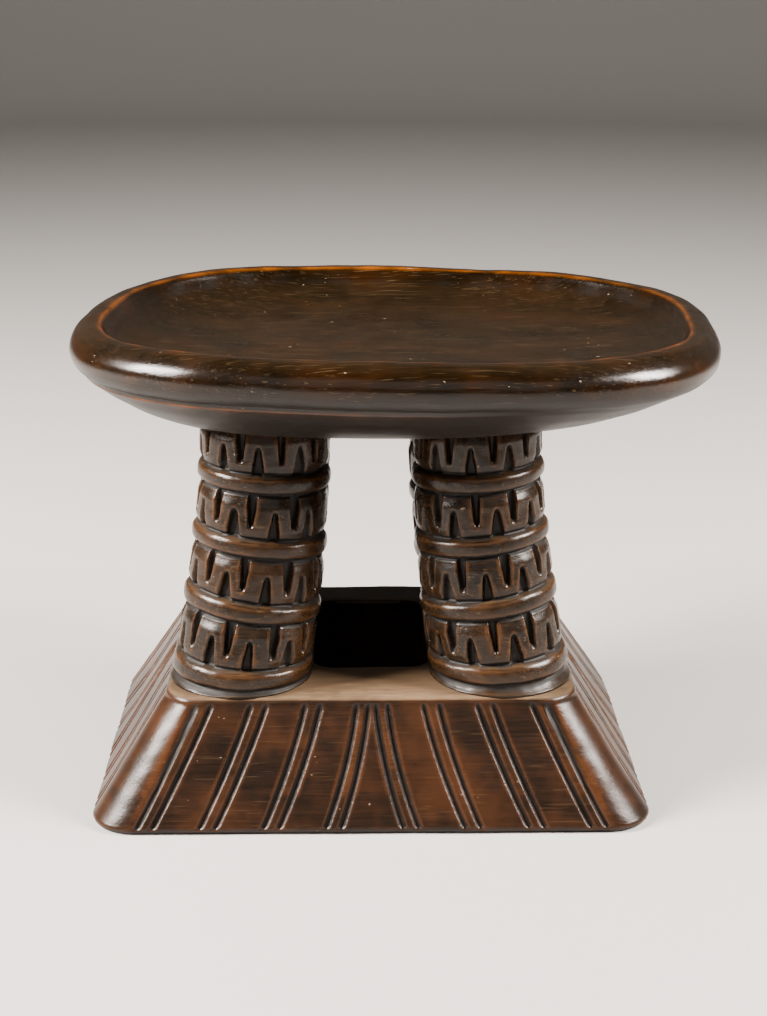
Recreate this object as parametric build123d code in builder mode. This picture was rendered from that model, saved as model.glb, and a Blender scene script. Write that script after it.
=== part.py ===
"""Carved wooden headrest: a dished oval top on four splayed, ringed columns that rise from a hollow,
flared foot. The real object is cut from one block; here it is divided where the carving changes from
one member to the next, and each member is a closed solid that meets its neighbours face to face.

Frame: +Z up, +X to the sitter's right, front towards -Y, origin on the ground under the top's centre.
Lengths are in millimetres.
"""

import os
from math import cos, pi, sin

from build123d import *

# The foot and the columns stand a little to the left of the top's centre, as they were carved.
stand_x = -9.5

# ---- foot ------------------------------------------------------------------------------------------
foot_width = 193.0
foot_depth = 146.0
foot_height = 43.0
foot_corner_radius = 15.0
foot_top_corner_radius = 14.0
foot_edge_radius = 2.0

# The hollow is cut right through the foot and widens downwards. Its walls stay this thick.
hollow_clearance = 0.2
hollow_front_ledge = 30.5
hollow_back_ledge = 18.5
hollow_wall_below = 26.0
hollow_corner_radius = 7.0

# Pairs of curved grooves fan out over each sloping side, the same to the left and the right.
front_pairs = 4
side_pairs = 3
groove_width = 2.2
groove_cut = 1.3
groove_gap = 5.2
groove_first_top = 2.4
groove_first_bottom = 14.0
groove_corner_gap = 3.0
groove_bow = 0.42
groove_stop = 1.6

# ---- columns ---------------------------------------------------------------------------------------
column_height = 90.5
column_radius = 22.0
column_flare = 2.0

# Open space left between the columns under the top, and between their collars on the foot.
column_gap_side = 27.0
column_gap_deep = 12.0
foot_gap_side = 40.2
foot_gap_deep = 14.2

splay_power = 1.8
collar_height = 2.6
collar_proud = 1.0
collar_margin = 0.4

ring_count = 4
first_ring_up = 6.2
ring_height = 5.6
ring_round = 1.9
ring_proud = 0.5
joint_gap = 0.9
core_inset = 3.0

# Each band between rings has triangular chips cut in from both edges, which leaves a zigzag.
notches_around = 10
top_notch_width = 5.0
bottom_notch_width = 6.4
notch_cut = 2.4
top_notch_share = 0.68
bottom_notch_share = 0.55

# ---- top -------------------------------------------------------------------------------------------
top_width = 221.0
top_depth = 190.0
top_squareness = 2.8
top_turn = -5.0
top_thickness = 32.0
rim_thickness = 17.0
rim_round = 8.3
rim_under_round = 5.0

# The belly swells from the flat that the columns meet out to the underside of the rim. Its profile
# gives the share of the height and the share of the reach.
plateau_margin = 7.5
belly_start = 3.0
belly_profile = ((0.33, 0.55), (0.62, 0.8))

# The dish has a short, steep wall inside the rim and a long shallow floor.
dish_inset = 11.0
dish_drop = 11.5
dish_wall_drop = 5.2
dish_wall_run = 5.0
dish_slope_drop = 9.2
dish_slope_run = 15.0
dish_floor_inset = 48.0
dish_edge_round = 2.0

# ---- values that follow from the sizes above --------------------------------------------------------
column_top_z = foot_height + column_height
crest_z = column_top_z + top_thickness
rim_low_z = crest_z - rim_thickness
collar_radius = column_radius + column_flare + collar_proud
column_top_x = column_radius + column_gap_side / 2
column_top_y = column_radius + column_gap_deep / 2
column_foot_x = collar_radius + foot_gap_side / 2
column_foot_y = collar_radius + foot_gap_deep / 2
foot_top_width = 2 * (column_foot_x + collar_radius + collar_margin)
foot_top_depth = 2 * (column_foot_y + collar_radius + collar_margin)
hollow_width = foot_gap_side - hollow_clearance
ring_pitch = (column_height - first_ring_up + ring_height / 2) / ring_count
plateau_width = 2 * (column_top_x + column_radius + plateau_margin)
plateau_depth = 2 * (column_top_y + column_radius + plateau_margin)
outline_points = 28


def oval(width, depth):
    """Points on a closed superellipse, evenly spread by angle about its centre."""
    points = []
    for i in range(outline_points):
        angle = 2 * pi * i / outline_points
        across = abs(cos(angle) / (width / 2)) ** top_squareness
        along = abs(sin(angle) / (depth / 2)) ** top_squareness
        reach = (across + along) ** (-1 / top_squareness)
        points.append((reach * cos(angle), reach * sin(angle)))
    return points


def oval_face(z, width, depth, turn, centre_x):
    """A flat oval at height z, turned by degrees about its centre."""
    way = (cos(turn * pi / 180), sin(turn * pi / 180), 0)
    with BuildSketch(Plane((centre_x, 0, z), x_dir=way)) as section:
        with BuildLine():
            Spline(*oval(width, depth), periodic=True)
        make_face()
    return section.sketch


def outline_at(z, inset):
    """The top's outline at height z, drawn in by inset."""
    return oval_face(z, top_width - 2 * inset, top_depth - 2 * inset, top_turn, 0)


def belly_at(height_share, reach_share):
    """A section of the belly, part of the way up and out from the plateau to the rim."""
    z = column_top_z + (rim_low_z + belly_start - column_top_z) * height_share
    width = plateau_width + (top_width - 2 * belly_start - plateau_width) * reach_share
    depth = plateau_depth + (top_depth - 2 * belly_start - plateau_depth) * reach_share
    return oval_face(z, width, depth, top_turn * reach_share, stand_x * (1 - reach_share))


def groove_paths(pairs, top_reach, bottom_reach, slope_length):
    """Arcs of one half of a sloping side, each as (top, middle, bottom) in the side's own plane."""
    top_last = top_reach - foot_top_corner_radius - groove_corner_gap
    bottom_last = bottom_reach - foot_corner_radius - groove_corner_gap
    paths = []
    for pair in range(pairs):
        share = pair / (pairs - 1)
        top = groove_first_top + (top_last - groove_first_top) * share
        bottom = groove_first_bottom + (bottom_last - groove_first_bottom) * share
        middle = top + (bottom - top) * groove_bow
        for offset in (-groove_gap / 2, groove_gap / 2):
            if pair == 0 and offset < 0:
                offset = groove_width / 2 - groove_first_top
            paths.append(
                (
                    (top + offset, slope_length - groove_stop),
                    (middle + offset, slope_length / 2),
                    (bottom + offset, 0),
                )
            )
    return paths


def side_plane(outward, bottom_reach, top_reach):
    """Plane of one sloping side, its origin at the middle of the side's bottom edge."""
    run = bottom_reach - top_reach
    normal = Vector(outward) * foot_height + Vector(0, 0, run)
    along = Vector(0, 0, 1).cross(Vector(outward))
    middle = Vector(stand_x, 0, 0) + Vector(outward) * bottom_reach
    return Plane(origin=middle, x_dir=along, z_dir=normal)


# ---- foot ------------------------------------------------------------------------------------------
half_width, half_top_width = foot_width / 2, foot_top_width / 2
half_depth, half_top_depth = foot_depth / 2, foot_top_depth / 2
hollow_depth = foot_top_depth - hollow_front_ledge - hollow_back_ledge
hollow_y = (hollow_front_ledge - hollow_back_ledge) / 2
hollow_width_below = foot_width - 2 * hollow_wall_below
hollow_depth_below = foot_depth - 2 * hollow_wall_below
sides = [
    ((0, -1, 0), half_depth, half_top_depth, half_width, half_top_width, front_pairs),
    ((0, 1, 0), half_depth, half_top_depth, half_width, half_top_width, front_pairs),
    ((-1, 0, 0), half_width, half_top_width, half_depth, half_top_depth, side_pairs),
    ((1, 0, 0), half_width, half_top_width, half_depth, half_top_depth, side_pairs),
]

with BuildPart() as foot:
    with BuildSketch():
        with Locations((stand_x, 0)):
            RectangleRounded(foot_width, foot_depth, foot_corner_radius)
    with BuildSketch(Plane.XY.offset(foot_height)):
        with Locations((stand_x, 0)):
            RectangleRounded(foot_top_width, foot_top_depth, foot_top_corner_radius)
    loft()
    fillet(foot.edges().group_by(Axis.Z)[0], foot_edge_radius)
    with BuildSketch(Plane.XY.offset(foot_height)):
        with Locations((stand_x, hollow_y)):
            RectangleRounded(hollow_width, hollow_depth, hollow_corner_radius)
    with BuildSketch():
        with Locations((stand_x, 0)):
            RectangleRounded(hollow_width_below, hollow_depth_below, hollow_corner_radius)
    loft(mode=Mode.SUBTRACT)
    for outward, bottom, top, bottom_half, top_half, pairs in sides:
        slope_length = ((bottom - top) ** 2 + foot_height**2) ** 0.5
        with BuildSketch(side_plane(outward, bottom, top)):
            for points in groove_paths(pairs, top_half, bottom_half, slope_length):
                for mirrored in (1, -1):
                    with BuildLine() as line:
                        ThreePointArc(*[(mirrored * x, y) for x, y in points])
                    trace(line.line, line_width=groove_width)
        extrude(amount=-groove_cut, mode=Mode.SUBTRACT)
foot.part.label = "foot"


# ---- columns: the front right one is made, and the others are its mirror images -----------------------
def spread_at(z):
    """How far a column has spread at height z: none under the top, all of it on the foot."""
    return (max(column_top_z - z, 0) / column_height) ** splay_power


def axis_point(z):
    """Centre of the front right column at height z."""
    spread = spread_at(z)
    x = stand_x + column_top_x + (column_foot_x - column_top_x) * spread
    y = column_top_y + (column_foot_y - column_top_y) * spread
    return Vector(x, -y, z)


def axis_plane(z):
    """Plane square to the column's axis at height z, its X pointing along the front."""
    step = 0.5
    lean = axis_point(z + step) - axis_point(z - step)
    return Plane(origin=axis_point(z), x_dir=(1, 0, 0), z_dir=lean)


def radius_at(z):
    """Radius of the column's carved surface at height z."""
    return column_radius + column_flare * spread_at(z)


def ring(index):
    """One rounded ring, counted from the foot."""
    z = foot_height + first_ring_up + index * ring_pitch
    with BuildPart(axis_plane(z)) as bead:
        Cylinder(radius_at(z) + ring_proud, ring_height)
        fillet(bead.edges(), ring_round)
    return bead.part


def chip(frame, angle, radius, height, upward):
    """A triangular wedge, wide at the band's edge and pointed at its tip."""
    outward = frame.x_dir * cos(angle) + frame.y_dir * sin(angle)
    across = frame.z_dir.cross(outward)
    face = Plane(origin=frame.origin + outward * (radius + joint_gap), x_dir=across, z_dir=outward)
    way = 1 if upward else -1
    half = (bottom_notch_width if upward else top_notch_width) / 2
    share = bottom_notch_share if upward else top_notch_share
    edge = -way * (height / 2 + joint_gap)
    tip = way * (share - 0.5) * height
    with BuildPart() as wedge:
        with BuildSketch(face):
            with BuildLine():
                Polyline((-half, edge), (half, edge), (0, tip), close=True)
            make_face()
        extrude(amount=-notch_cut - joint_gap)
    return wedge.part


def band(index):
    """The zigzag band above a ring: a raised drum with its chips cut away."""
    height = ring_pitch - ring_height - 2 * joint_gap
    z = foot_height + first_ring_up + (index + 0.5) * ring_pitch
    frame = axis_plane(z)
    step = 2 * pi / notches_around
    chips = []
    for count in range(notches_around):
        angle = step * (count + index / 4)
        chips.append(chip(frame, angle, radius_at(z), height, upward=False))
        chips.append(chip(frame, angle + step / 2, radius_at(z), height, upward=True))
    with BuildPart(frame) as drum:
        Cylinder(radius_at(z), height)
        fillet(drum.edges(), joint_gap / 2)
    with BuildPart() as zigzag:
        add(drum.part)
        add(chips, mode=Mode.SUBTRACT)
    return zigzag.part


carving = [ring(index) for index in range(ring_count)] + [band(index) for index in range(ring_count)]
core_sections = 5
with BuildPart() as front_right_column:
    for index in range(core_sections):
        z = foot_height + column_height * index / (core_sections - 1)
        with BuildSketch(Plane.XY.offset(z)):
            with Locations((axis_point(z).X, axis_point(z).Y)):
                Circle(radius_at(z) - core_inset)
    loft()
    with BuildSketch(Plane.XY.offset(foot_height)):
        with Locations((axis_point(foot_height).X, axis_point(foot_height).Y)):
            Circle(collar_radius)
    extrude(amount=collar_height, taper=20)
    add(carving)
    split(bisect_by=Plane.XY.offset(foot_height), keep=Keep.TOP)
    split(bisect_by=Plane.XY.offset(column_top_z), keep=Keep.BOTTOM)
front_right_column.part.label = "front_right_column"

with BuildPart() as front_left_column:
    mirror(front_right_column.part, about=Plane.YZ.offset(stand_x))
front_left_column.part.label = "front_left_column"

with BuildPart() as rear_right_column:
    mirror(front_right_column.part, about=Plane.XZ)
rear_right_column.part.label = "rear_right_column"

with BuildPart() as rear_left_column:
    mirror(front_left_column.part, about=Plane.XZ)
rear_left_column.part.label = "rear_left_column"


# ---- top -------------------------------------------------------------------------------------------
with BuildPart() as top:
    add(outline_at(rim_low_z, 0))
    extrude(amount=rim_thickness)
    fillet(top.edges().group_by(Axis.Z)[-1], rim_round)
    fillet(top.edges().group_by(Axis.Z)[0], rim_under_round)

    add(belly_at(0, 0))
    for height_share, reach_share in belly_profile:
        add(belly_at(height_share, reach_share))
    add(belly_at(1, 1))
    loft()

    add(outline_at(crest_z, dish_inset))
    add(outline_at(crest_z - dish_wall_drop, dish_inset + dish_wall_run))
    add(outline_at(crest_z - dish_slope_drop, dish_inset + dish_slope_run))
    add(outline_at(crest_z - dish_drop, dish_floor_inset))
    loft(mode=Mode.SUBTRACT)
    fillet(top.edges().filter_by_position(Axis.Z, crest_z - 0.1, crest_z + 0.1), dish_edge_round)
top.part.label = "top"


# ---- one file for each piece -------------------------------------------------------------------------
pieces = [foot, front_left_column, front_right_column, rear_left_column, rear_right_column, top]
os.makedirs("parts", exist_ok=True)
for piece in pieces:
    export_step(piece.part, f"parts/{piece.part.label}.step")
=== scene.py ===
import bpy
import numpy as np
from mathutils import Matrix, Vector


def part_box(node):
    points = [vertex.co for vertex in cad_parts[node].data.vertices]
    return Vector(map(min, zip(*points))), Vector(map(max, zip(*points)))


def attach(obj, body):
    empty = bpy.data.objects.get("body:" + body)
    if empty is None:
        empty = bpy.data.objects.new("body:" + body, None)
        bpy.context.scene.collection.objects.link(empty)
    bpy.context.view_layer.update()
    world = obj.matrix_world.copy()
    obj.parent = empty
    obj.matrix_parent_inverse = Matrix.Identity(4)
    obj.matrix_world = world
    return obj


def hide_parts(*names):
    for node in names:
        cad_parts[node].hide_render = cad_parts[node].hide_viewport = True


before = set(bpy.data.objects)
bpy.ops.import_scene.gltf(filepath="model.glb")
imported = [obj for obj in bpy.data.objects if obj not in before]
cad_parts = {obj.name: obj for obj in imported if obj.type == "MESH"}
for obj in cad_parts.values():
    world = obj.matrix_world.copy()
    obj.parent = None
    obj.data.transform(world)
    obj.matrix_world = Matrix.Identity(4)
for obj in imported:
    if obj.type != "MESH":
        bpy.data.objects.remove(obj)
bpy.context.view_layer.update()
mm = 0.001


# ---- The foot ----
# A flared block with rounded corners, cut right through to a hollow, with pairs of curved grooves fanned
# over its sloping sides. It is the lower end of the one block of dense hardwood that the headrest is
# carved from, worked with an adze and a knife, then darkened and oiled.

foot_low, foot_high = (np.array(corner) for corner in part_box("foot"))
foot_x = (foot_low[0] + foot_high[0]) / 2
foot_z = foot_high[2]


def rounded_rectangle(half_x, half_y, radius, counts):
    """Points round a rectangle whose corners are arcs: from the right end of the front side, each corner
    takes counts[2] points and the sides counts[0] (front, back) or counts[1] (left, right)."""
    long, short, turn = counts
    points = []
    for quarter, count in enumerate((short, long, short, long)):
        start = quarter * np.pi / 2 - np.pi / 2
        angle = start + np.arange(turn) / turn * np.pi / 2
        sign_x = 1 if quarter in (0, 1) else -1
        sign_y = 1 if quarter in (1, 2) else -1
        centre = np.array([sign_x * (half_x - radius), sign_y * (half_y - radius)])
        arc = centre + radius * np.stack([np.cos(angle), np.sin(angle)], axis=1)
        end = centre + radius * np.array([np.cos(start + np.pi / 2), np.sin(start + np.pi / 2)])
        length = 2 * (half_y - radius) if quarter in (0, 2) else 2 * (half_x - radius)
        along = np.array([[0, 1], [-1, 0], [0, -1], [1, 0]])[quarter]
        side = end + np.arange(count)[:, None] / count * length * along
        points += [arc, side]
    return np.concatenate(points)


def surface_mesh(name, points, loop=False):
    """A closed mesh from points[row, column]: the columns wrap round, and the rows wrap too if loop is
    set, or else a point at the middle of the first and of the last row closes the ends."""
    rows, columns, _ = points.shape
    row = np.arange(rows if loop else rows - 1)[:, None]
    column = np.arange(columns)[None, :]
    next_row, next_column = (row + 1) % rows, (column + 1) % columns
    corners = [(row, column), (row, next_column), (next_row, next_column), (next_row, column)]
    quads = np.stack([r * columns + c for r, c in corners], axis=-1).reshape(-1, 4)
    faces = quads.tolist()
    vertices = points.reshape(-1, 3)
    if not loop:
        vertices = np.vstack([vertices, points[0].mean(axis=0), points[-1].mean(axis=0)])
        first, last, top_row = rows * columns, rows * columns + 1, (rows - 1) * columns
        around = np.arange(columns)
        after = (around + 1) % columns
        faces += np.stack([np.full(columns, first), after, around], axis=1).tolist()
        faces += np.stack([np.full(columns, last), top_row + around, top_row + after], axis=1).tolist()
    mesh = bpy.data.meshes.new(name)
    mesh.from_pydata(vertices.tolist(), [], faces)
    mesh.polygons.foreach_set("use_smooth", np.ones(len(mesh.polygons), dtype=bool))
    mesh.update()
    piece = bpy.data.objects.new(name, mesh)
    bpy.context.collection.objects.link(piece)
    return piece


def grid_normals(points, loop=False):
    """Unit normals of a grid: the cross product of the step round it and the step up it."""
    across = np.roll(points, -1, axis=1) - np.roll(points, 1, axis=1)
    if loop:
        up = np.roll(points, -1, axis=0) - np.roll(points, 1, axis=0)
    else:
        up = np.gradient(points, axis=0)
    normal = np.cross(across, up)
    return normal / np.maximum(np.linalg.norm(normal, axis=2, keepdims=True), 1e-12)


def hand_wave(points, period, seed):
    """The gentle unevenness of hand work, from -1 to 1: the mean of eight sine waves in fixed directions,
    each with a length near the period."""
    random = np.random.default_rng(seed)
    total = np.zeros(points.shape[:-1])
    for _ in range(8):
        direction = random.normal(size=3)
        direction /= np.linalg.norm(direction)
        turns = points @ direction / (period * random.uniform(0.7, 1.5))
        total += np.sin(2 * np.pi * (turns + random.uniform()))
    return total / 8 * 1.6


def rub_and_cut_shade_marks(piece, points, reach, loop=False, full=0.28):
    """Two values on each vertex, from how far it stands above or below the mean of its neighbours a reach
    away: worn, 0 to 1 on edges that hands rub, and hollow, 0 to 1 in cuts, which are painted darker as
    shade. Each is 1 where that height is the share full of the reach."""
    normal = grid_normals(points, loop)
    step_round = np.linalg.norm(points - np.roll(points, 1, axis=1), axis=2).mean(axis=1)
    step_up = np.linalg.norm(np.diff(points, axis=0), axis=2).mean()
    up = max(1, int(round(reach / max(step_up, 1e-6))))
    mean = np.zeros_like(points)
    for row in range(points.shape[0]):
        turn = int(np.clip(round(reach / max(step_round[row], 1e-6)), 1, 12))
        mean[row] = (np.roll(points[row], turn, axis=0) + np.roll(points[row], -turn, axis=0)) / 4
    if loop:
        mean += (np.roll(points, up, axis=0) + np.roll(points, -up, axis=0)) / 4
    else:
        padded = np.concatenate([np.repeat(points[:1], up, 0), points, np.repeat(points[-1:], up, 0)])
        mean += (padded[: -2 * up] + padded[2 * up :]) / 4
    proud = ((points - mean) * normal).sum(axis=2) / reach
    for name, value in (("worn", proud), ("hollow", -proud)):
        value = np.clip(value / full, 0, 1).reshape(-1)
        if not loop:
            value = np.append(value, [0, 0])
        attribute = piece.data.attributes.new(name, "FLOAT", "POINT")
        attribute.data.foreach_set("value", value.astype(np.float32))


def linear(hex_colour):
    """An sRGB hex colour as linear red, green, blue and alpha."""
    srgb = [int(hex_colour[i : i + 2], 16) / 255 for i in (1, 3, 5)]
    return [c / 12.92 if c <= 0.04045 else ((c + 0.055) / 1.055) ** 2.4 for c in srgb] + [1]


def add_node(tree, kind, inputs={}, output=0, **settings):
    """Adds a node of a kind with its settings. Each input, by name or number, is linked from a socket or
    set to a value. Gives back one of its outputs."""
    node = tree.nodes.new(kind)
    for key, value in settings.items():
        setattr(node, key, value)
    for key, value in inputs.items():
        if isinstance(value, bpy.types.NodeSocket):
            tree.links.new(value, node.inputs[key])
        else:
            node.inputs[key].default_value = value
    return node.outputs[output] if node.outputs else node


def carved_hardwood(name, dark, mid, worn, bloom, gloss, patch, rub, chalk, scuffs, shine):
    """Oiled dark hardwood, hand carved and worn, with its grain along X. The streaks run from the dark to
    the mid colour, and the worn colour comes up in clouds by the share patch and on rubbed edges by the
    share rub. A dry bloom lies over what faces up by the share chalk, and scuffs is how strong the
    scratches are. The cuts are painted near black as shade and made dull, and what faces down is painted
    darker as shade and made rougher."""
    material = bpy.data.materials.new(name)
    material.use_nodes = True
    tree = material.node_tree
    tree.nodes.clear()
    place = add_node(tree, "ShaderNodeTexCoord", output="Object")

    # Each pattern has its size in millimetres along X, Y and Z, its detail, its roughness, how far it is
    # bent, and how far it is turned about Z: pores 0.9 mm wide in streaks of 30 mm, finer pores drawn as
    # coarse as they need to show, growth bands of 8 mm, clouds of 25 mm, thumb-wide wear, and scratches.
    patterns = {
        "grain": ((30, 0.9, 0.9), 5.0, 0.65, 0.15, 0.0),
        "fine grain": ((11, 0.32, 0.32), 2.0, 0.6, 0.0, 0.0),
        "figure": ((71, 8.3, 8.3), 3.0, 0.6, 0.5, 0.0),
        "clouds": ((25, 25, 25), 3.0, 0.6, 0.0, 0.0),
        "wear": ((11.8, 7.7, 7.7), 4.0, 0.7, 0.0, 0.0),
        "scratches": ((22, 0.46, 0.77), 1.0, 0.6, 0.0, 0.5),
        "crossing": ((18, 0.53, 0.77), 1.0, 0.6, 0.0, -0.6),
        "nicks": ((2.4, 1.4, 1.4), 1.0, 0.6, 0.0, 0.0),
    }
    layer = {}
    for pattern, (size, detail, rough, bent, turn) in patterns.items():
        scale = [1 / (length * mm) for length in size]
        turned = {"Vector": place, "Scale": scale, "Rotation": (0, 0, turn)}
        mapped = add_node(tree, "ShaderNodeMapping", turned)
        noise = {"Vector": mapped, "Scale": 1.0, "Detail": detail, "Roughness": rough, "Distortion": bent}
        layer[pattern] = add_node(tree, "ShaderNodeTexNoise", noise)
    layer["on edge"] = add_node(tree, "ShaderNodeAttribute", output="Fac", attribute_name="worn")
    layer["in cut"] = add_node(tree, "ShaderNodeAttribute", output="Fac", attribute_name="hollow")
    normal = add_node(tree, "ShaderNodeNewGeometry", output="Normal")
    layer["upward"] = add_node(tree, "ShaderNodeSeparateXYZ", {0: normal}, output="Z")
    layer["bands"] = add_node(tree, "ShaderNodeMath", {0: layer["figure"], 1: 0.38}, operation="MULTIPLY")
    streaks = {0: layer["grain"], 1: 0.62, 2: layer["bands"]}
    layer["streaks"] = add_node(tree, "ShaderNodeMath", streaks, operation="MULTIPLY_ADD")

    # Each share rises along an eased slope as a pattern goes between two values. The last number, or the
    # earlier share named in its place, is what the share rises to.
    shares = (
        ("streak", "streaks", 0.38, 0.62, 0.0, 1.0),
        ("cloud", "clouds", 0.42, 0.68, 0.0, patch),
        ("dusty pore", "fine grain", 0.3, 0.7, 0.5 * chalk, chalk),
        ("dusty cloud", "clouds", 0.25, 0.6, 0.3 * chalk, "dusty pore"),
        ("dust", "upward", 0.6, 0.97, 0.0, "dusty cloud"),
        ("rub", "wear", 0.3, 0.6, 0.3 * rub, rub),
        ("rubbed", "on edge", 0.08, 0.85, 0.0, "rub"),
        ("scratch", "scratches", 0.65, 0.73, 0.0, scuffs),
        ("cross scratch", "crossing", 0.66, 0.74, 0.0, scuffs),
        ("nick", "nicks", 0.775, 0.8, 0.0, 0.5),
        # The cuts are painted near black as shade.
        ("cut_shade", "in cut", 0.05, 0.6, 0.0, 0.88),
        # What faces down is painted darker as shade.
        ("under", "upward", -0.15, -0.75, 0.0, 0.8),
    )
    for share, pattern, start, end, least, most in shares:
        spread = {0: layer[pattern], 1: start, 2: end, 3: least, 4: layer.get(most, most)}
        layer[share] = add_node(tree, "ShaderNodeMapRange", spread, interpolation_type="SMOOTHSTEP")

    colour = linear(dark)
    coats = (
        ("streak", mid),
        ("cloud", worn),
        ("dust", bloom),
        ("rubbed", worn),
        ("scratch", "#685439"),
        ("cross scratch", "#685439"),
        ("nick", "#86745f"),
        # Painted shade: the cuts are near black.
        ("cut_shade", "#080402"),
        # Painted shade: what faces down is darker.
        ("under", "#0a0502"),
    )
    for share, coat in coats:
        mix = {0: layer[share], 6: colour, 7: linear(coat)}
        colour = add_node(tree, "ShaderNodeMix", mix, output=2, data_type="RGBA")

    # Oil leaves a low gloss, which dust dulls and hands raise, and the cuts and the undersides, both painted
    # dark as shade, are duller. The pores, the scratches and the nicks are sunk, and the wear makes shallow
    # waves.
    gloss_parts = {"wear": 0.08, "grain": 0.1, "cut_shade": 0.35, "rubbed": -0.06, "dust": 0.55, "under": 0.3}
    sums = {
        "roughness": (gloss - 0.06, gloss_parts),
        "relief": (0.0, {"grain": 0.5, "fine grain": 0.2, "scratch": -0.5, "nick": -0.6, "wear": 0.2}),
    }
    total = {}
    for result, (start, parts) in sums.items():
        total[result] = start
        for part, amount in parts.items():
            term = {0: layer[part], 1: amount, 2: total[result]}
            total[result] = add_node(tree, "ShaderNodeMath", term, operation="MULTIPLY_ADD")
    carved = {"Height": total["relief"], "Strength": 0.5, "Distance": 0.25 * mm}
    bump = add_node(tree, "ShaderNodeBump", carved)
    finish = {
        "Base Color": colour,
        "Roughness": total["roughness"],
        "Normal": bump,
        "IOR": 1.45,
        "Specular IOR Level": shine,
    }
    shader = add_node(tree, "ShaderNodeBsdfPrincipled", finish)
    add_node(tree, "ShaderNodeOutputMaterial", {"Surface": shader})
    return material


def finish_piece(piece, node, material):
    """The piece takes its material, stands for its CAD node and rides with the block."""
    piece.data.materials.append(material)
    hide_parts(node)
    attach(piece, "root")


foot_bottom = np.array([foot_high[0] - foot_low[0], foot_high[1] - foot_low[1]]) / 2
foot_top = np.array([70.5, 57.5]) * mm
hollow_top = np.array([20.0, 33.0]) * mm
hollow_top_y = 6 * mm
hollow_bottom = np.array([70.5, 47.0]) * mm
corner_radius = 15 * mm
top_corner_radius = 14 * mm
edge_radius = 2.4 * mm
hollow_edge = 1.5 * mm
hollow_mouth_radius = 8 * mm
hollow_radius = 7 * mm
foot_counts = (300, 170, 20)
edge_rows = 6
side_rows = 56


def foot_section(half, centre_y, radius, z):
    """One level section of the foot or of its hollow, as points at height z."""
    outline = rounded_rectangle(half[0], half[1], radius, foot_counts)
    return np.stack([foot_x + outline[:, 0], centre_y + outline[:, 1], np.full(len(outline), z)], axis=1)


def foot_surface():
    """The foot's outside from the ground up, over the ledge, down the hollow and back under. The outside
    runs straight from the bottom size to the top size, with its two edges rounded over."""
    rows = []
    quarter = np.linspace(0, np.pi / 2, edge_rows + 1)
    for angle in quarter[:-1]:
        inset = edge_radius * (1 - np.sin(angle))
        z = edge_radius * (1 - np.cos(angle))
        rows.append(foot_section(foot_bottom - inset, 0, corner_radius - inset, z))
    for share in np.linspace(0, 1, side_rows):
        z = edge_radius + (foot_z - 2 * edge_radius) * share
        half = foot_bottom + (foot_top - foot_bottom) * share
        rows.append(foot_section(half, 0, corner_radius - (corner_radius - top_corner_radius) * share, z))
    for angle in quarter[1:]:
        inset = edge_radius * (1 - np.cos(angle))
        z = foot_z - edge_radius * (1 - np.sin(angle))
        rows.append(foot_section(foot_top - inset, 0, top_corner_radius - inset, z))
    ledge_start = foot_top - edge_radius
    ledge_radius = top_corner_radius - edge_radius
    for share in np.linspace(0, 1, 10)[1:-1]:
        half = ledge_start + (hollow_top + hollow_edge - ledge_start) * share
        radius = ledge_radius + (hollow_mouth_radius - ledge_radius) * share
        rows.append(foot_section(half, hollow_top_y * share, radius, foot_z))
    for angle in np.linspace(0, np.pi / 2, 5):
        half = hollow_top + hollow_edge * (1 - np.sin(angle))
        z = foot_z - hollow_edge * (1 - np.cos(angle))
        rows.append(foot_section(half, hollow_top_y, hollow_mouth_radius, z))
    for share in np.linspace(0, 1, 14)[1:]:
        half = hollow_top + (hollow_bottom - hollow_top) * share
        z = (foot_z - hollow_edge) * (1 - share)
        rows.append(foot_section(half, hollow_top_y * (1 - share), hollow_radius, z))
    return np.stack(rows)


groove_deep = 1.4 * mm
groove_half_width = 1.45 * mm
pair_half_gap = 2.6


def groove_depth(points, normal):
    """Depth of the fanned grooves at each point of the sloping sides. Each side has its pairs on both
    sides of its middle, and a groove is a V. Its place along the side, in millimetres from the middle,
    goes from its top place to its bottom place, slowly at first and then faster by its bow."""
    depth = np.zeros(points.shape[:-1])
    drop = np.clip((foot_z - points[..., 2]) / foot_z, 0, 1)
    fans = (
        (0, 1, (2.4, 19.4, 37.3, 55.6), (14.0, 35.0, 56.5, 77.5), (0.6, 0.35, 0.2, 0.12)),
        (1, 0, (2.4, 21.0, 39.6), (13.0, 33.0, 53.0), (0.6, 0.3, 0.15)),
    )
    for along_axis, out_axis, tops, bottoms, bows in fans:
        along = np.abs(points[..., along_axis] - (foot_x if along_axis == 0 else 0))
        facing = np.clip((np.abs(normal[..., out_axis]) - 0.55) / 0.15, 0, 1)
        for top, bottom, bow in zip(tops, bottoms, bows):
            way = (1 - bow) * drop + bow * drop**2
            for offset in (-pair_half_gap, pair_half_gap):
                start = max(top + offset, 1.0)
                place = (start + (bottom + offset - start) * way) * mm
                across = np.abs(along - place) / groove_half_width
                cut = groove_deep * np.clip(1 - across, 0, 1) ** 0.9
                depth = np.maximum(depth, cut * facing)
    end = np.clip((foot_z - 1.2 * mm - points[..., 2]) / (2.5 * mm), 0, 1)
    outside = (normal[..., 2] > -0.1) & (normal[..., 2] < 0.9)
    return depth * end * outside


foot_points = foot_surface()
foot_normals = grid_normals(foot_points, loop=True)
outer_rows = np.zeros(foot_points.shape[0], dtype=bool)
outer_rows[: edge_rows + side_rows + 2] = True
grooves = groove_depth(foot_points, foot_normals) * outer_rows[:, None]

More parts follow.
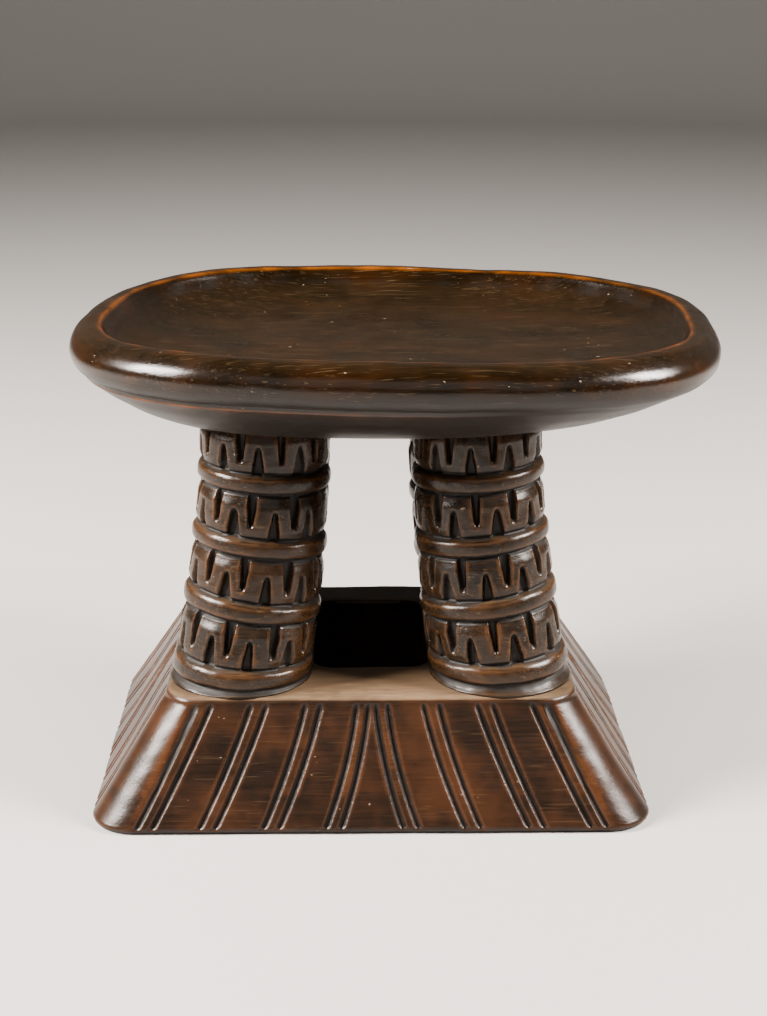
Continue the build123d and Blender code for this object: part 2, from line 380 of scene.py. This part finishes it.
# The hand's unevenness only cuts inwards, so the piece stays inside the solid it stands for.
wave = hand_wave(foot_points, 38 * mm, 4) * 0.3 * mm + hand_wave(foot_points, 9 * mm, 5) * 0.07 * mm
inward = (grooves + 0.3 * mm + wave) * (foot_points[..., 2] > 0.5 * mm)
foot_points = foot_points - foot_normals * inward[..., None]
foot_points[..., 2] = np.clip(foot_points[..., 2], 0, foot_z)
foot = surface_mesh("foot_carved", foot_points, loop=True)
rub_and_cut_shade_marks(foot, foot_points, 1.6 * mm, loop=True)
foot_wood = carved_hardwood(
    "oiled_hardwood_foot",
    dark="#0d0602",
    mid="#180c05",
    worn="#3e220e",
    bloom="#68543f",
    gloss=0.27,
    patch=0.34,
    rub=0.7,
    chalk=0.82,
    scuffs=0.06,
    shine=0.22,
)
finish_piece(foot, "foot", foot_wood)


# ---- The four columns ----
# Round columns left standing between the top and the foot when the block was opened up. They lean
# outwards as they go down. Each has four polished beads, and between them raised bands into which
# wedges were chipped from above and from below, so that a zigzag is left.

column_top_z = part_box("front_right_column")[1][2]
column_height = column_top_z - foot_z
beads = 4
bead_height = 6.4 * mm
bead_rise = 2.5 * mm
bead_power = 2.6
bead_gap = 0.9 * mm
bead_sink = 1.9 * mm
gap_sink = 2.1 * mm
neck_sink = 1.3 * mm
collar_rise = 2.0 * mm
collar_height = 3.4 * mm
notches = 10
chip_deep = 2.6 * mm


def column_line(height):
    """Centre and radius of the front right column at a height above the foot: the spread grows as the
    power 1.8 of the way down from the top."""
    spread = np.clip(1 - height / column_height, 0, 1) ** 1.8
    x = foot_x + (35.5 + 9.6 * spread) * mm
    y = -(28.0 + 4.1 * spread) * mm
    radius = (22.0 + 2.0 * spread) * mm
    return np.stack([x, y, foot_z + height], axis=-1), radius


def eased(value):
    """0 below 0, 1 above 1, and between them a slope that starts and ends level."""
    held = np.clip(value, 0, 1)
    return held * held * (3 - 2 * held)


def band_cut(angle, share, phase):
    """Depth cut into a band, as share goes from 0 at its lower edge to 1 at its upper edge. A narrow wedge
    comes down from the upper edge to three tenths of the height, and a wider one comes up from the
    lower edge to three fifths. Above the wider wedge the band's face is chamfered back."""
    turns = angle / (2 * np.pi) * notches + phase
    wobble = 0.05 * np.sin(2.3 * turns + 5 * phase)
    upper = np.abs((turns + wobble) % 1 - 0.5)
    lower = np.abs((turns + 0.5 - wobble) % 1 - 0.5)
    upper_half = 0.085 + 0.07 * np.clip((share - 0.3) / 0.7, 0, 1)
    lower_half = 0.09 + 0.1 * np.clip((0.6 - share) / 0.6, 0, 1)
    upper_cut = eased((upper_half - upper) / 0.09) * eased((share - 0.2) / 0.2)
    lower_cut = eased((lower_half - lower) / 0.095) * eased((0.7 - share) / 0.2)
    chamfer = eased((share - 0.7) / 0.34)
    foot_round = eased((0.2 - share) / 0.22)
    cut = np.maximum(upper_cut, lower_cut) * chip_deep
    return np.maximum(cut, chamfer * 1.0 * mm + foot_round * 0.8 * mm)


def column_surface(first_bead, phases, seed):
    """The front right column. Its sections lie square to its leaning line, and level at both ends. The
    radius swells in a rounded bead every pitch, falls into a narrow gap at each side of the bead, and
    is cut by the band between."""
    rows, columns = 236, 390
    bead_pitch = (column_height - first_bead + bead_height / 2) / beads
    height = np.linspace(0, column_height, rows)[:, None]
    angle = np.linspace(0, 2 * np.pi, columns, endpoint=False)[None, :]
    centre, radius = column_line(height[:, 0])
    lean = np.gradient(centre, height[:, 0], axis=0)[:, :2]
    ends = np.clip(height[:, 0] / (30 * mm), 0, 1) * np.clip((column_height - height[:, 0]) / (8 * mm), 0, 1)
    step = (height - first_bead) / bead_pitch + 0.02 * np.sin(angle + seed)
    index = np.clip(np.floor(step + 0.5), 0, beads)
    from_bead = (step - index) * bead_pitch
    bead = np.clip(1 - np.abs(from_bead / (bead_height / 2)) ** bead_power, 0, 1) ** (1 / bead_power)
    bead_profile = -bead_sink + bead_rise * bead
    is_bead = (np.abs(from_bead) < bead_height / 2) & (index < beads)
    band_height = bead_pitch - bead_height
    band_index = np.clip(np.floor(step), 0, beads - 1).astype(int)
    in_band = (step - band_index) * bead_pitch - bead_height / 2
    share = (in_band - bead_gap) / (band_height - 2 * bead_gap)
    phase = np.array(phases)[band_index]
    edge = np.clip(np.minimum(in_band, band_height - in_band) / bead_gap, 0, 1)
    band_profile = -gap_sink * (1 - edge) ** 0.7 - band_cut(angle, np.clip(share, 0, 1), phase) * edge
    collar = np.clip(1 - height / collar_height, 0, 1) ** 2.2
    below_first = height < first_bead - bead_height / 2
    profile = np.where(is_bead, bead_profile, np.where(below_first, -neck_sink, band_profile))
    profile = profile + collar_rise * collar * below_first
    flat = np.stack([np.cos(angle) + 0 * height, np.sin(angle) + 0 * height], axis=-1)
    points = np.empty((rows, columns, 3))
    reach = (radius[:, None] + profile)[..., None]
    points[..., :2] = centre[:, None, :2] + flat * reach
    tilt = (flat * lean[:, None, :]).sum(axis=-1) * ends[:, None]
    points[..., 2] = centre[:, None, 2] - tilt * reach[..., 0]
    normal = grid_normals(points)
    wave = hand_wave(points, 16 * mm, seed) * 0.22 * mm + hand_wave(points, 5 * mm, seed + 1) * 0.08 * mm
    points -= normal * (wave + 0.15 * mm)[..., None]
    points[..., 2] = np.clip(points[..., 2], foot_z - 0.2 * mm, column_top_z + 0.2 * mm)
    return points


column_wood = carved_hardwood(
    "oiled_hardwood_columns",
    dark="#090502",
    mid="#170e06",
    worn="#402711",
    bloom="#574431",
    gloss=0.25,
    patch=0.2,
    rub=0.5,
    chalk=0.4,
    scuffs=0.15,
    shine=0.26,
)
column_places = {
    "front_left_column": (-1, 1, 4.9 * mm, (0.62, 0.80, 0.85, 0.45), 11),
    "front_right_column": (1, 1, 6.6 * mm, (0.10, 0.60, 0.20, 0.75), 23),
    "rear_left_column": (-1, -1, 5.4 * mm, (0.50, 0.15, 0.70, 0.95), 37),
    "rear_right_column": (1, -1, 6.1 * mm, (0.00, 0.40, 0.80, 0.25), 53),
}
for node, (side, front, first_bead, phases, seed) in column_places.items():
    points = column_surface(first_bead, phases, seed)
    points[..., 0] = foot_x + side * (points[..., 0] - foot_x)
    points[..., 1] *= front
    if side * front < 0:
        points = points[:, ::-1]
    column = surface_mesh(node + "_carved", points)
    rub_and_cut_shade_marks(column, points, 1.8 * mm)
    finish_piece(column, node, column_wood)


# ---- The top ----
# A dished oval with a thick rounded rim and a belly that draws in to the columns. The dish is worn grey
# and smooth by use, and the rim is rubbed down to warm amber on its edges. The oval sits a few degrees
# turned on the columns, and its right end droops a little.

top_half = np.array([110.5, 95.0]) * mm
crest_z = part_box("top")[1][2]
rim_radius = 8.3 * mm
plateau_half = np.array([65.0, 57.5]) * mm
outline_power = 2.8
belly_width = 45.5 * mm
dish_width = 52 * mm


def oval_rows(half, turn, centre_x, z, angle):
    """Rows of points on superellipses, where the outline power of x over half_x and that of y over half_y
    add up to 1. Each row has its own half sizes, turn, centre and height."""
    half_x, half_y = half[:, :1], half[:, 1:]
    across = (np.abs(np.cos(angle)) / half_x) ** outline_power
    across = across + (np.abs(np.sin(angle)) / half_y) ** outline_power
    reach = across ** (-1 / outline_power)
    x, y = reach * np.cos(angle), reach * np.sin(angle)
    cos_turn, sin_turn = np.cos(turn)[:, None], np.sin(turn)[:, None]
    return np.stack(
        [centre_x[:, None] + x * cos_turn - y * sin_turn, x * sin_turn + y * cos_turn, z[:, None] + 0 * x],
        axis=-1,
    )


def smooth_profile(stops, count):
    """A smooth curve through the stops, evenly spaced along its length: Catmull-Rom spans, resampled."""
    stops = np.array(stops, dtype=float)
    padded = np.vstack([2 * stops[0] - stops[1], stops, 2 * stops[-1] - stops[-2]])
    t = np.linspace(0, 1, 40, endpoint=False)[:, None]
    spans = []
    for a, b, c, d in zip(padded[:-3], padded[1:-2], padded[2:-1], padded[3:]):
        cubic = (3 * b - a - 3 * c + d) * t**3 + (2 * a - 5 * b + 4 * c - d) * t**2 + (c - a) * t + 2 * b
        spans.append(cubic / 2)
    line = np.vstack(spans + [stops[-1:]])
    length = np.concatenate([[0], np.cumsum(np.linalg.norm(np.diff(line, axis=0), axis=1))])
    even = np.linspace(0, length[-1], count)
    return np.stack([np.interp(even, length, line[:, i]) for i in range(2)], axis=1)


def top_surface():
    """The top from the middle of the plateau out along the belly, up round the rim and down into the
    dish. The belly's rows go from the plateau's size and place to the rim's as their share goes from 0
    to 1. The rim and the dish are drawn in from the outline by an inset."""
    columns = 400
    angle = np.linspace(0, 2 * np.pi, columns, endpoint=False)[None, :]
    under_share = np.linspace(0.05, 1, 8)[:-1]
    belly_stops = ((0.0, 0.0), (11.0, 1.9), (22.0, 5.4), (31.0, 9.6), (36.5, 13.0), (39.8, 15.2))
    belly = smooth_profile(belly_stops, 44) * mm
    rim_angle = np.radians(np.linspace(-62, 78, 62))
    rim_inset = rim_radius * (1 - np.cos(rim_angle))
    rim_z = crest_z - rim_radius * (1 - np.sin(rim_angle))
    lip_stops = ((7.2, 0.1), (9.4, 0.0), (11.2, 0.3), (12.3, 1.3), (13.6, 3.2))
    dish_stops = ((16.5, 5.8), (23.0, 8.4), (35.0, 10.5), (52.0, 11.4))
    dish = smooth_profile(lip_stops + dish_stops, 90) * mm
    floor_share = np.linspace(1, 0.02, 26)[1:]

    belly_reach = belly[:, 0:1] / belly_width
    half = [
        plateau_half * under_share[:, None],
        plateau_half + (top_half - plateau_half) * belly_reach,
        top_half - rim_inset[:, None],
        top_half - dish[:, :1],
        (top_half - dish_width) * floor_share[:, None],
    ]
    share = np.concatenate(
        [0 * under_share, belly_reach[:, 0], np.ones(len(rim_inset) + len(dish) + len(floor_share))]
    )
    z = np.concatenate(
        [
            np.full(len(under_share), column_top_z),
            column_top_z + belly[:, 1],
            rim_z,
            crest_z - dish[:, 1],
            crest_z - 11.4 * mm - 0.5 * mm * (1 - floor_share**2),
        ]
    )
    return oval_rows(np.vstack(half), np.radians(-5.0) * share, foot_x * (1 - share), z, angle)


top_points = top_surface()
over = np.clip((top_points[..., 2] - column_top_z) / (crest_z - column_top_z), 0, 1)

# The top sags a little as carved: 0.5 mm in the middle, 1 mm at the left end and 2 mm at the right end.
sideways = top_points[..., 0] / top_half[0]
droop = (0.9 * mm * (1 + sideways) + 1.6 * mm * sideways**2) * over
top_normals = grid_normals(top_points)
wave = hand_wave(top_points, 55 * mm, 71) * 0.55 * mm + hand_wave(top_points, 14 * mm, 72) * 0.12 * mm
shaved = np.clip(over * 4, 0, 1) * (wave + 0.65 * mm)
top_points = top_points - top_normals * shaved[..., None]
top_points[..., 2] -= droop * 0.6
top_points[..., 2] = np.maximum(top_points[..., 2], column_top_z - 0.2 * mm)
top = surface_mesh("top_carved", top_points)
rub_and_cut_shade_marks(top, top_points, 4.0 * mm, full=0.17)
top_wood = carved_hardwood(
    "worn_hardwood_top",
    dark="#060300",
    mid="#100701",
    worn="#703a07",
    bloom="#181003",
    gloss=0.16,
    patch=0.03,
    rub=0.95,
    chalk=0.4,
    scuffs=0.13,
    shine=0.33,
)
finish_piece(top, "top", top_wood)


# ---- The studio ----
# A round pale paper floor whose edge sweeps up all the way round, two small soft boxes to the left and
# the right, a large weak one in front, and a camera a little above the dish, on a long lens.

sweep = np.linspace(0, np.pi / 2, 16)[1:]
floor_reach = np.concatenate([[0.5, 1.5, 2.6], 2.6 + 1.4 * np.sin(sweep), [4.0]])
floor_rise = np.concatenate([[0, 0, 0], 1.4 * (1 - np.cos(sweep)), [3.0]])
around = np.linspace(0, 2 * np.pi, 72, endpoint=False)[None, :]
floor_points = np.stack(
    [
        floor_reach[:, None] * np.cos(around),
        floor_reach[:, None] * np.sin(around),
        floor_rise[:, None] + 0 * around,
    ],
    axis=-1,
)
floor_ring, floor_step = np.arange(len(floor_reach) - 1)[:, None], np.arange(72)[None, :]
floor_after = (floor_step + 1) % 72
floor_corners = [(1, floor_step), (1, floor_after), (0, floor_after), (0, floor_step)]
floor_faces = [(floor_ring + up) * 72 + column for up, column in floor_corners]
floor_faces = np.stack(floor_faces, axis=-1).reshape(-1, 4).tolist() + [list(range(72))]
floor_mesh = bpy.data.meshes.new("floor")
floor_mesh.from_pydata(floor_points.reshape(-1, 3).tolist(), [], floor_faces)
floor_mesh.polygons.foreach_set("use_smooth", np.ones(len(floor_mesh.polygons), dtype=bool))
floor = bpy.data.objects.new("floor", floor_mesh)
bpy.context.collection.objects.link(floor)
paper = bpy.data.materials.new("pale_studio_paper")
paper.use_nodes = True
paper.node_tree.nodes["Principled BSDF"].inputs["Base Color"].default_value = linear("#a3a19e")
paper.node_tree.nodes["Principled BSDF"].inputs["Roughness"].default_value = 0.85
floor_mesh.materials.append(paper)

world = bpy.data.worlds.new("studio_air")
world.use_nodes = True
world.node_tree.nodes["Background"].inputs["Color"].default_value = linear("#e9ecf0")
world.node_tree.nodes["Background"].inputs["Strength"].default_value = 0.1
bpy.context.scene.world = world


def soft_box(name, place, target, width, height, watts):
    """A rectangular lamp at a place, turned to face a target."""
    lamp = bpy.data.lights.new(name, "AREA")
    lamp.shape = "RECTANGLE"
    lamp.size = width
    lamp.size_y = height
    lamp.energy = watts
    lamp.color = linear("#fff6ee")[:3]
    holder = bpy.data.objects.new(name, lamp)
    holder.location = place
    holder.rotation_euler = (Vector(target) - Vector(place)).to_track_quat("-Z", "Y").to_euler()
    bpy.context.collection.objects.link(holder)


middle = (0, 0, 0.1)
soft_box("soft_box_left", (-0.9, -0.24, 0.66), middle, 0.38, 0.42, 98)
soft_box("soft_box_right", (0.88, -0.24, 0.68), middle, 0.34, 0.4, 70)
soft_box("soft_box_front", (0.0, -1.6, 1.0), middle, 2.0, 1.2, 9)

camera_data = bpy.data.cameras.new("camera")
camera_data.sensor_fit = "VERTICAL"
camera_data.sensor_height = 36
camera_data.lens = 63.8
camera = bpy.data.objects.new("camera", camera_data)
yaw, pitch, roll = np.radians([1.15, 17.11, 0.19])
forward = Vector((np.sin(yaw) * np.cos(pitch), np.cos(yaw) * np.cos(pitch), -np.sin(pitch)))
right = Vector((np.cos(yaw), -np.sin(yaw), 0))
upward = right.cross(forward)
turn = Matrix((right, upward, -forward)).transposed() @ Matrix.Rotation(roll, 3, "Z")
camera_place = Vector((foot_x - 7.49 * mm, -614.48 * mm, 281.35 * mm))
camera.matrix_world = Matrix.Translation(camera_place) @ turn.to_4x4()
bpy.context.collection.objects.link(camera)
bpy.context.scene.camera = camera
